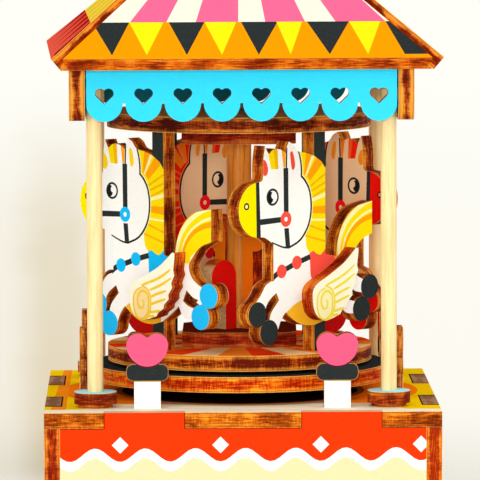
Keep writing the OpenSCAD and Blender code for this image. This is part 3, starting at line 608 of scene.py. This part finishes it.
top_shapes = [((255, 132, 10), circle(0, 0, 46.2, count=96)),
              ((255, 150, 24), [(-48.4, -44), (-44.6, -44), (-44.2, 51), (-46.4, 51)])]
for x, y in ((x, y) for x in (-48, 48) for y in (-TAB_AT, TAB_AT)):
    top_shapes.append(((60, 28, 10), rect(x - 2.4, y - 11.4, x + 2.4, y + 11.4)))
top_shapes.append((PALE_WOOD, PALE_BAY))
for k in range(34):
    x, y = -44 + 88 * ((k * 0.618) % 1), -49.2 + 10 * ((k * 0.382 + 0.11) % 1) ** 1.4
    if abs(x) < 34 or y < -45.5:
        top_shapes.append((GRAIN_LINE, stroke(
            [(x, y), (x + 2, y + 0.07), (x + 4.2, y)], 0.22, 0.2)))
# Dark rounds that stand for the photo's deep shadow under the disc
top_shapes += [((226, 186, 132), circle(0, 0, 36, start=222, sweep=96)),
               ((150, 84, 34), circle(0, 0, 32.4, count=96)),
               ((40, 18, 8), circle(0, 0, 30.6, count=96))]
print_on("top_plate_print", "housing", [
    (top_of("base_top_plate"), (255, 212, 6), top_shapes)])

POST_BAR = (5.3, 7.0, 11.3, 1.7)        # half its width, its foot and top, its corners' radius
HEART = (5.25, 10.7, 5.46)              # half its width, its foot, and its middle above the foot


def bar_outline(inset):
    """The rounded bar of a heart post, inset from its edge."""
    half, low, high, r = POST_BAR
    return [p for u, v, start in ((half - r, high - r, 0), (r - half, high - r, 90),
                                  (r - half, low + r, 180), (half - r, low + r, 270))
            for p in circle(u, v, r - inset, start=start, sweep=90, count=8)]


def post_art(heart):
    def foot(more):
        half, low, rise = HEART
        return circle(0, low + rise, half + more, rise + more, count=40, start=180, sweep=180) + [
            Vector((8, low + rise)), Vector((8, 24)), Vector((-8, 24)), Vector((-8, low + rise))]
    return [(TAN_LINE, bar_outline(-0.2)), (CHARCOAL, bar_outline(0.09)),
            ((96, 16, 40), foot(0.3)), (heart, foot(0.02))]


posts = []
for side, turn in SIDES.items():
    out = spoke(turn)
    far = span(f"{side}_heart_posts", out)[1]
    across = span(f"{side}_heart_posts", Vector((-out.y, out.x, 0)))[1] - POST_BAR[0]
    heart = HOT_PINK if side == "front" else (238, 30, 30)
    art = [(ink, [p + Vector((shift, 0)) for p in outline])
           for shift in (-across, across) for ink, outline in post_art(heart)]
    posts.append((upright(turn, far, BASE_TOP, f"{side}_heart_posts"), WHITE, art))
    posts.append((upright(turn, far - PLY, BASE_TOP, f"{side}_heart_posts", True), WHITE, art))
print_on("heart_post_prints", "housing", posts)

print_on("collar_prints", "housing", [(top_of("pillar_collars"), (176, 240, 255), [])])

# ---------------------------------------------------------------- valance and roof prints

# The valances' fronts turn a deeper blue in three bands up from this height: painted shade under
# the eave
EAVE_SHADE_FROM = 129.0
valances = []
for side, turn in SIDES.items():
    node = f"valance_{side}"
    far = span(node, spoke(turn))[1]
    valances.append((upright(turn, far, 0, node), SKY, [
        (ink, rect(-50, EAVE_SHADE_FROM + k, 50, 150))
        for k, ink in enumerate([(46, 208, 250), (32, 200, 250), (16, 190, 250)])]))
    # the inner faces take a darker blue: painted shade inside the valance
    valances.append((upright(turn, far - PLY, 0, node, True), SKY_IN_PAINTED_SHADE, []))
print_on("valance_prints", "housing", valances)

BAND_V = 13.3         # height of the band of pennants, up the slope
TIP_V = 1.25
# Left end, right end and tip of each pennant at the eave, in turn dark and bright
PENNANTS = [(-38.6, -29.3, -33.9), (-29.3, -20.7, -25.2), (-19.4, -10.4, -15.2),
            (-10.4, -2.4, -6.4), (-1.2, 8.0, 2.8), (7.7, 14.2, 10.8), (15.4, 26.0, 20.6),
            (26.0, 33.9, 30.2)]
STRIPES = [(-29.2, -20.0), (-12.6, -1.9), (4.9, 14.9), (22.6, 35.2)]


def roof_art(dark, bright, stripe, ground, apex):
    shapes = [(ground, [Vector((-60, BAND_V)), Vector((60, BAND_V)), Vector((0, 90))])]
    shapes += [(stripe, [Vector((a, BAND_V)), Vector((b, BAND_V)), Vector((0, apex))])
               for a, b in STRIPES]
    for k, (a, b, tip) in enumerate(PENNANTS):
        shapes.append((bright if k % 2 else dark, [
            Vector((a, BAND_V)), Vector((tip, TIP_V)), Vector((b, BAND_V))]))
    shapes.append((dark, [Vector((35.2, BAND_V)), Vector((39.4, TIP_V)), Vector((55, TIP_V)),
                          Vector((45, BAND_V))]))
    return shapes


roofs = []
for side, turn in SIDES.items():
    out = spoke(turn + ROOF_TURN)
    tilt = out * math.sin(ROOF_SLOPE) + Z_AXIS * math.cos(ROOF_SLOPE)
    up = Z_AXIS * math.sin(ROOF_SLOPE) - out * math.cos(ROOF_SLOPE)
    along = Vector((-out.y, out.x, 0))
    level = span(f"roof_{side}", tilt)[1]
    rise = -span(f"roof_{side}", -up)[1]
    apex = level * math.tan(ROOF_SLOPE) - rise
    origin = tilt * level + up * rise
    if side in ("front", "back"):
        art = roof_art(CHARCOAL, BRIGHT, PINK, PALE, apex)
        ground = (255, 158, 3)
    else:
        # the stripes run past the tip, or they would merge with the rim that ends there
        art = roof_art((150, 24, 24), (250, 60, 40), (255, 206, 60), (255, 232, 70), apex + 2)
        ground = (250, 96, 74)
    roofs.append((Face(f"roof_{side}", origin, along, up), ground, art))
print_on("roof_prints", "housing", roofs)

# ---------------------------------------------------------------- the carousel's prints

print_on("lower_disc_print", "carousel", [(top_of("lower_disc"), CHARCOAL, [])])

turntable_inks = [(250, 70, 20), (250, 214, 160), (255, 140, 40)]
print_on("turntable_print", "carousel", [
    (top_of("turntable"), CREAM,
     [(turntable_inks[k % 3], ray) for k, ray in enumerate(sunburst(24, 60, 0.3))])])

print_on("hub_prints", "carousel", [
    (top_of("lower_hub_block"), (112, 40, 20), [])])

scrolls = []
for corner, turn in HORSES.items():
    ray = spoke(turn + REST_TURN)
    side = Vector((-ray.y, ray.x, 0))
    ink = (236, 22, 16) if corner in ("front_left", "back_right") else (255, 130, 20)
    for sign in (1, -1):
        face = Face("centre_scrolls", side * sign * PLY / 2, ray, Z_AXIS, sign > 0)
        scrolls.append((face, None, [(ink, rect(0.5, STAGE_Z, 20, RING_Z))]))
print_on("scroll_prints", "carousel", scrolls)

# ---------------------------------------------------------------- the horses' prints
# u runs from the pole towards the tail, and v up from where the outlines are drawn

HORSE_RAISE = 0.6
EYE = (-17.0, 39.7)
RING = (-12.2, 33.8)
NOSTRIL = (-26.3, 37.8)
HOOVES = [(-22.5, 10.1), (-18.4, 5.3), (18.4, 14.6), (15.4, 9.0)]
HOOF_R = 3.25
FACE_LINE = (curve([(-8.2, 53), (-7.7, 51.1), (-7.0, 49.0), (-6.6, 46.4), (-6.6, 44.5)])
             + curve([(-6.6, 44.5), (-5.2, 43.2), (-3.9, 41.2), (-3.2, 38.6), (-3.1, 36),
                      (-3.5, 33.5), (-4.4, 31.3), (-6, 29.2), (-8, 27.7), (-11.2, 26.5)])
             + curve([(-11.2, 26.5), (-13.5, 26.8), (-17.4, 28.2)]))
TAIL_TOP = curve([(6.4, 22.5), (6, 25.2), (6.6, 28.4), (8.3, 31.4), (10.8, 33.9), (13.8, 35.7),
                  (16.6, 36.9), (20, 37.6)])
TAIL_UNDER = curve([(10.6, 22.5), (11, 24.2), (12, 25.6), (13.2, 26.7), (14.6, 27.5), (16.2, 28.1),
                    (18, 28.3), (20, 28.3)])
MANE_END = 2.15
# Each lock's two inner and two outer points
DEEP_LOCKS = [((-5.7, 45), (-5.2, 44.6), (-2.6, 50.2), (-4.7, 51.6)),
              ((-4.7, 44.6), (-3.4, 43.2), (1.3, 47.4), (-0.7, 49.4)),
              ((-3.3, 36.5), (-3.3, 34.9), (MANE_END, 34.4), (MANE_END, 36.5))]
THIN_LOCKS = [((-4.0, 41.4), (MANE_END, 44.7)), ((-3.4, 40.3), (MANE_END, 42.5)),
              ((-3.2, 38.7), (MANE_END, 40.8)), ((-4.4, 31.9), (MANE_END, 29.9)),
              ((-5.2, 29.2), (MANE_END, 27.3))]
PALE_LOCKS = [((-5.2, 44.6), (-4.7, 44.4), (-1.7, 49.6), (-2.6, 50.2)),
              ((-3.2, 38.5), (-3.2, 37.6), (MANE_END, 38.9), (MANE_END, 39.9)),
              ((-3.4, 33.4), (-3.5, 32.9), (MANE_END, 32.6), (MANE_END, 33.1))]


def ribbon(left, right, a, b):
    """A strip between shares of the way from one line to the other, which change along it."""
    last = len(left) - 1
    low = [p.lerp(q, a[0] + (a[1] - a[0]) * k / last) for k, (p, q) in enumerate(zip(left, right))]
    high = [p.lerp(q, b[0] + (b[1] - b[0]) * k / last) for k, (p, q) in enumerate(zip(left, right))]
    return low + high[::-1]


def horse_art(ink):
    """The print on one side of a horse, in the inks of its kind."""
    head = FACE_LINE + [Vector(p) for p in ((-17, 16), (-24, 16), (-32, 30), (-32, 56))]
    mane = [Vector(p) for p in ((-8.2, 54), (3, 54), (3, 46), (MANE_END, 46), (MANE_END, 25.5))]
    mane += curve([(MANE_END, 25.5), (0.5, 24.1), (-0.8, 24.2), (-2.4, 25.2)])
    mane += curve([(-2.4, 25.2), (-3.6, 24.8), (-4.7, 26), (-5.1, 27.7), (-5, 29.4)])
    mane += [Vector((-9, 34)), Vector((-12, 45))]
    belly = curve([(-13.4, 9.2), (-9.8, 11.5), (-6.8, 12.7), (-3, 13.6), (1, 13.2)])
    shapes = [(ink["belly"], belly + [Vector(p) for p in ((1, 5), (-14, 5))])]
    saddle = curve([(-3.7, 26), (-3.5, 21.6), (-2.9, 18), (1, 15.5), (7, 18), (9.4, 24.8)])
    shapes += [(ink["accent"], saddle + [Vector((6, 24.6)), Vector((MANE_END, 26))])]
    band = curve([(-17.6, 18.6), (-15.7, 19.9), (-13.7, 20.6), (-10.8, 21.6), (-8.3, 22.4),
                  (-3.5, 23.7)])
    shapes += [(CHARCOAL, stroke(band, 1.4)), (ink["lock"], mane)]
    shapes += [(ink["deep"], lock) for lock in DEEP_LOCKS]
    shapes += [(ink["thin"], stroke(lock, 0.55)) for lock in THIN_LOCKS]
    shapes += [(ink["pale"], lock) for lock in PALE_LOCKS]
    shapes += [(ink["lock"], ribbon(TAIL_TOP, TAIL_UNDER, (-0.2, -0.2), (1.2, 1.2))),
               (ink["deep"], ribbon(TAIL_TOP, TAIL_UNDER, (-0.2, -0.2), (0.1, -0.03))),
               (ink["pale"], ribbon(TAIL_TOP, TAIL_UNDER, (0.1, -0.03), (0.34, 0.1))),
               (ink["pale"], ribbon(TAIL_TOP, TAIL_UNDER, (0.5, 0.29), (0.57, 0.37))),
               (ink["deep"], ribbon(TAIL_TOP, TAIL_UNDER, (0.57, 0.42), (0.7, 0.58)))]
    shapes += [(ink["pale"], stroke(FACE_LINE[:60], 1.1)), (ink["coat"], head),
               (CHARCOAL, stroke(FACE_LINE, 0.58, 0.6))]
    shapes += [(ink["muzzle"], rect(-31, 28, -22.3, 45)),
               (CHARCOAL, [(-23.0, 45), (-22.7, 28), (-21.2, 28), (-21.8, 45)]),
               (CHARCOAL, [(-21.8, 34.3), (-21.6, 32.8), (-13.8, 33.1), (-13.8, 34.5)]),
               (CHARCOAL, [(-13.1, 46.9), (-12.95, 34), (-11.25, 34), (-11.35, 46.8)]),
               (CHARCOAL, [(-12.85, 31.5), (-12.3, 26.4), (-10.7, 26.5), (-11.2, 31.5)]),
               (CHARCOAL, stroke([(-11.9, 52), (-12.05, 46.6)], 0.5)),
               (ink["accent"], circle(*RING, 1.95)), (ink["eye"], circle(*RING, 0.6, count=20))]
    shapes += [(CHARCOAL, circle(*EYE, 2.2)), (ink["eye"], circle(*EYE, 1.62)),
               (BLACK, circle(EYE[0] - 0.75, EYE[1] - 0.05, 1.05, 1.5)),
               (ink["eye"], circle(EYE[0] + 0.25, EYE[1] + 0.35, 0.72, 0.85))]
    shapes += [(CHARCOAL, circle(*NOSTRIL, 0.95, count=24)),
               (ink["pale"], circle(*NOSTRIL, 0.5, count=20))]
    shapes += [(ink["ear"], curve([(-10.7, 50.6), (-9.9, 51), (-9.2, 49.4), (-8.9, 47.3),
                                   (-9.5, 46.2), (-10.2, 47), (-10.7, 50.6)])[:-1]),
               (ink["ear"], curve([(-20.6, 49.8), (-19.2, 48.6), (-18.6, 46.9), (-18.9, 45.6),
                                   (-19.8, 45.2), (-20.8, 45.8)]))]
    shapes += [(ink["lock"], [(-19.0, 52.4), (-17.5, 46.8), (-15.2, 46.7), (-15.3, 52.4)]),
               (ink["thin"], [(-16.7, 52.4), (-15.9, 46.7), (-14.9, 46.8), (-15.2, 52.4)]),
               (ink["deep"], [(-13.9, 52.4), (-13.0, 46.7), (-12.35, 47.2), (-12.25, 52.4)])]
    shapes += [(ink["accent"], circle(u, v, 1.75)) for u, v in ((-13.8, 20.6), (-8.3, 22.5))]
    shapes += [(ink["hoof"], circle(u, v, HOOF_R)) for u, v in HOOVES]
    shapes += [(CHARCOAL, [(-2.2, 57), (-2.2, 49.6), (-1.5, 49.2), (0.7, 47.9), (MANE_END, 46),
                           (MANE_END, 57)]),
               (CHARCOAL, [(-2.2, -2), (2.2, -2), (2.2, 7.4), (1.2, 6.9), (-2.2, 6.05)])]
    return shapes


WHITE_HORSE = {"coat": WHITE, "eye": WHITE, "muzzle": (255, 236, 0), "lock": (255, 222, 10),
               "deep": (255, 166, 10), "thin": (244, 184, 10), "pale": (255, 247, 170),
               "belly": (255, 190, 40)}
BLUE_HORSE = WHITE_HORSE | {"accent": (22, 190, 255), "ear": (255, 214, 20), "hoof": (36, 192, 255)}
CORAL_HORSE = WHITE_HORSE | {"accent": (250, 84, 70), "ear": (245, 80, 62), "hoof": CHARCOAL}
# The back horses' coat is written lighter than its own colour: painted light against the shade
# under the roof
BROWN_HORSE = {"coat": (255, 218, 172), "eye": (255, 224, 186), "muzzle": (255, 24, 14),
               "lock": (255, 38, 8), "deep": (255, 134, 16), "thin": (255, 100, 44),
               "pale": (255, 130, 76), "belly": (200, 96, 44), "accent": (255, 26, 34),
               "ear": (255, 156, 34), "hoof": (255, 22, 16)}
INKS = {"front_left": BLUE_HORSE, "front_right": CORAL_HORSE, "back_left": BROWN_HORSE,
        "back_right": BROWN_HORSE}

FEATHERS = [[(-2.1, 16.4), (0.1, 17.1), (3.3, 18.2), (5.9, 19.4), (8.7, 21.1)],
            [(0.8, 15.3), (3.3, 16.2), (5.9, 17.3), (8.9, 18.9)],
            [(1, 13.4), (3.3, 14.4), (7, 15.5)], [(1.2, 11.7), (3.8, 12.5), (6.8, 13.4)],
            [(0.8, 9.7), (2.5, 9.9), (4.8, 10.3)],
            [(0.2, 8.5), (1.6, 8.7), (2.6, 8.8)]]
SPIRAL = [(-1.9, 15.9), (-3.7, 15.2), (-4.9, 13.6), (-5.0, 11.2), (-4.3, 8.9), (-2.9, 7.8),
          (-1.2, 8.0), (0.2, 9.5), (0.6, 11.8), (0.2, 14.0), (-1.2, 15.0), (-2.7, 14.5),
          (-3.5, 13.2), (-3.4, 11.5), (-2.5, 10.5), (-1.5, 10.9), (-1.2, 12.1), (-1.9, 12.8)]
WING_RIM = [(-2.1, 16.4), (-0.2, 15.7), (1.0, 14.2), (1.4, 11.8), (0.9, 9.6), (0, 8.1), (-1.5, 7.2)]


def wing_art(line, scroll):
    """The print on a wing: its feathers, and the spiral that they start from."""
    curl = curve(SPIRAL)
    return [(scroll, curve(WING_RIM) + curve(SPIRAL[5::-1]))] + [
        (line, stroke(curve(f), 0.72, 0.4)) for f in FEATHERS] + [
        (line, stroke(curl, 0.6, 0.5)), (line, stroke(curve(WING_RIM), 0.6, 0.4))]


# The ink of each wing's feathers, of its lines and of its spiral
WINGS = {"front_left": (PALE, (244, 204, 52), (250, 224, 158)),
         "front_right": (PALE, (240, 226, 66), (252, 244, 186)),
         "back_left": ((255, 214, 160), (240, 90, 40), (255, 190, 120)),
         "back_right": ((255, 214, 160), (240, 90, 40), (255, 190, 120))}

for corner, turn in HORSES.items():
    ink = INKS[corner]
    node = f"horse_{corner}"
    out = spoke(turn + REST_TURN)
    far = span(node, out)[1]
    foot = STAGE_Z + HORSE_RAISE
    shapes = horse_art(ink)
    print_on(f"{node}_prints", "carousel", [
        (upright(turn + REST_TURN, far, foot, node), ink["coat"], shapes),
        (upright(turn + REST_TURN, far - PLY, foot, node, True), ink["coat"], shapes)])
    wing = upright(turn + REST_TURN, far + PLY, foot, "horse_wings")
    feather, line, scroll = WINGS[corner]
    print_on(f"{node}_wing_print", "carousel", [
        (wing, feather, wing_art(line, scroll))])

# ---------------------------------------------------------------- floor, light and camera

FLOOR_HALF = 4.0      # metres, as are the next two
BACK_Y = 3.5
BACK_TOP = 4.0
WALL_FROM = 150       # millimetres behind the middle, where the floor turns into the wall's white
# The backdrop's soft shade is laid out for the photo's camera, so it looks right only from there.
# In millimetres, it spreads from the camera's distance in front of the object's middle; its
# breadth is drawn at that middle and its height farther back
SPREAD_FROM = 1400.0
DRAWN_BACK = 1200.0
LEVEL = 140.0         # the height that stays where it is
SLANT = 0.017         # the tangent of the camera's yaw


def stage_material(name, floor_rgb, wall_rgb, shade_rgb):
    """White paper: a floor that takes the shadow, and a wall that the camera sees as it is."""
    s = Shader(name, roughness=0.9, specular=0.1)
    cloud = s.noise(0.004, 3, 0.5)
    # seen from the photo's camera, the shade lies on the left of the object and deepens downwards
    y = s.math("MAXIMUM", s.y, -100.0)
    far = s.math("DIVIDE", s.math("ADD", y, SPREAD_FROM), SPREAD_FROM + DRAWN_BACK)
    down = s.math("ADD", s.math("DIVIDE", s.math("SUBTRACT", s.z, LEVEL), far), LEVEL)
    across = s.math("SUBTRACT", s.x, s.math("MULTIPLY", y, SLANT))
    across = s.math("DIVIDE", across, s.math("ADD", 1.0, s.math("DIVIDE", y, SPREAD_FROM)))
    across = s.math("ADD", across, s.math("MULTIPLY", cloud, 8.0))
    left = s.math("MULTIPLY", s.fade(across, -41, -26, 1.0, 0.12),
                  s.fade(across, -58, -45, 0.45, 1.0))
    left = s.math("MULTIPLY", left, s.fade(s.y, 100, 200))
    shade = s.math("MULTIPLY", left, s.math("ADD", s.fade(down, -20, 45, 0.75, 0.0),
                                            s.fade(down, -100, -20, 0.25, 0.0)))
    floor = s.mix(shade, floor_rgb, tuple(c * 0.93 for c in shade_rgb))
    s.put(s.bsdf.inputs["Base Color"], floor)
    wall = s.node("ShaderNodeEmission", Color=s.mix(shade, wall_rgb, shade_rgb))
    path = s.node("ShaderNodeLightPath").outputs
    seen = s.math("MAXIMUM", path["Is Camera Ray"], s.math(
        "MAXIMUM", path["Is Glossy Ray"], path["Is Transmission Ray"]))
    seen = s.math("MULTIPLY", seen, s.fade(s.y, WALL_FROM, WALL_FROM + 200))
    both = s.node("ShaderNodeMixShader", Fac=seen)
    s.put(both.inputs[1], s.bsdf.outputs[0])
    s.put(both.inputs[2], wall.outputs[0])
    s.put(s.tree.nodes["Material Output"].inputs["Surface"], both.outputs[0])
    return s.mat


def studio_sweep():
    """The floor, which curves up into the backdrop."""
    bend = 0.5
    profile = [(-FLOOR_HALF, 0.0), (BACK_Y - bend, 0.0)]
    profile += [(BACK_Y - bend + bend * math.sin(a), bend - bend * math.cos(a))
                for k in range(1, 13) for a in [math.pi / 2 * k / 12]]
    profile += [(BACK_Y, BACK_TOP)]
    verts = [(x, y, z) for x in (-FLOOR_HALF, FLOOR_HALF) for y, z in profile]
    n = len(profile)
    mesh = bpy.data.meshes.new("studio_sweep")
    mesh.from_pydata(verts, [], [(i, i + 1, i + 1 + n, i + n) for i in range(n - 1)])
    for polygon in mesh.polygons:
        polygon.use_smooth = True
    sweep = bpy.data.objects.new("studio_sweep", mesh)
    bpy.context.collection.objects.link(sweep)
    mesh.materials.append(stage_material("studio_white", (254, 253, 246), (255, 254, 247),
                                         (224, 210, 178)))


studio_sweep()


def lamp(name, place, aim, size, watts, rgb=(255, 255, 255)):
    """A round soft lamp, size metres across, that looks at aim."""
    data = bpy.data.lights.new(name, "AREA")
    data.shape = "DISK"
    data.size = size
    data.energy = watts
    data.color = linear(rgb)[:3]
    item = bpy.data.objects.new(name, data)
    item.location = place
    item.rotation_euler = (Vector(aim) - Vector(place)).to_track_quat("-Z", "Y").to_euler()
    bpy.context.collection.objects.link(item)


lamp("key", (-0.5, -1.0, 1.5), (0, 0, 0.1), 0.9, 6, (255, 253, 248))
lamp("front", (-0.06, -1.7, 0.3), (0, 0, 0.08), 0.4, 10.4, (255, 254, 250))
lamp("left", (-1.5, -0.9, 0.4), (0, 0, 0.1), 0.7, 2.5, (255, 252, 244))
lamp("right", (1.5, -0.25, 0.85), (0, 0, 0.06), 0.7, 4.5, (255, 253, 246))
lamp("rim", (0.6, 1.0, 1.1), (0, 0, 0.12), 0.8, 4)

WORLD_LIGHT = 0.57
world = bpy.data.worlds.new("studio")
bpy.context.scene.world = world
world.use_nodes = True
sky = world.node_tree
background = sky.nodes["Background"]
background.inputs["Color"].default_value = linear((251, 252, 252))
path = sky.nodes.new("ShaderNodeLightPath").outputs
seen = path["Is Camera Ray"]
for ray in ("Is Glossy Ray", "Is Transmission Ray"):
    either = sky.nodes.new("ShaderNodeMath")
    either.operation = "MAXIMUM"
    sky.links.new(seen, either.inputs[0])
    sky.links.new(path[ray], either.inputs[1])
    seen = either.outputs[0]
strength = sky.nodes.new("ShaderNodeMapRange")
strength.inputs["To Min"].default_value = WORLD_LIGHT
strength.inputs["To Max"].default_value = 1.0
sky.links.new(seen, strength.inputs["Value"])
sky.links.new(strength.outputs[0], background.inputs["Strength"])

bpy.context.scene.view_settings.view_transform = "Standard"
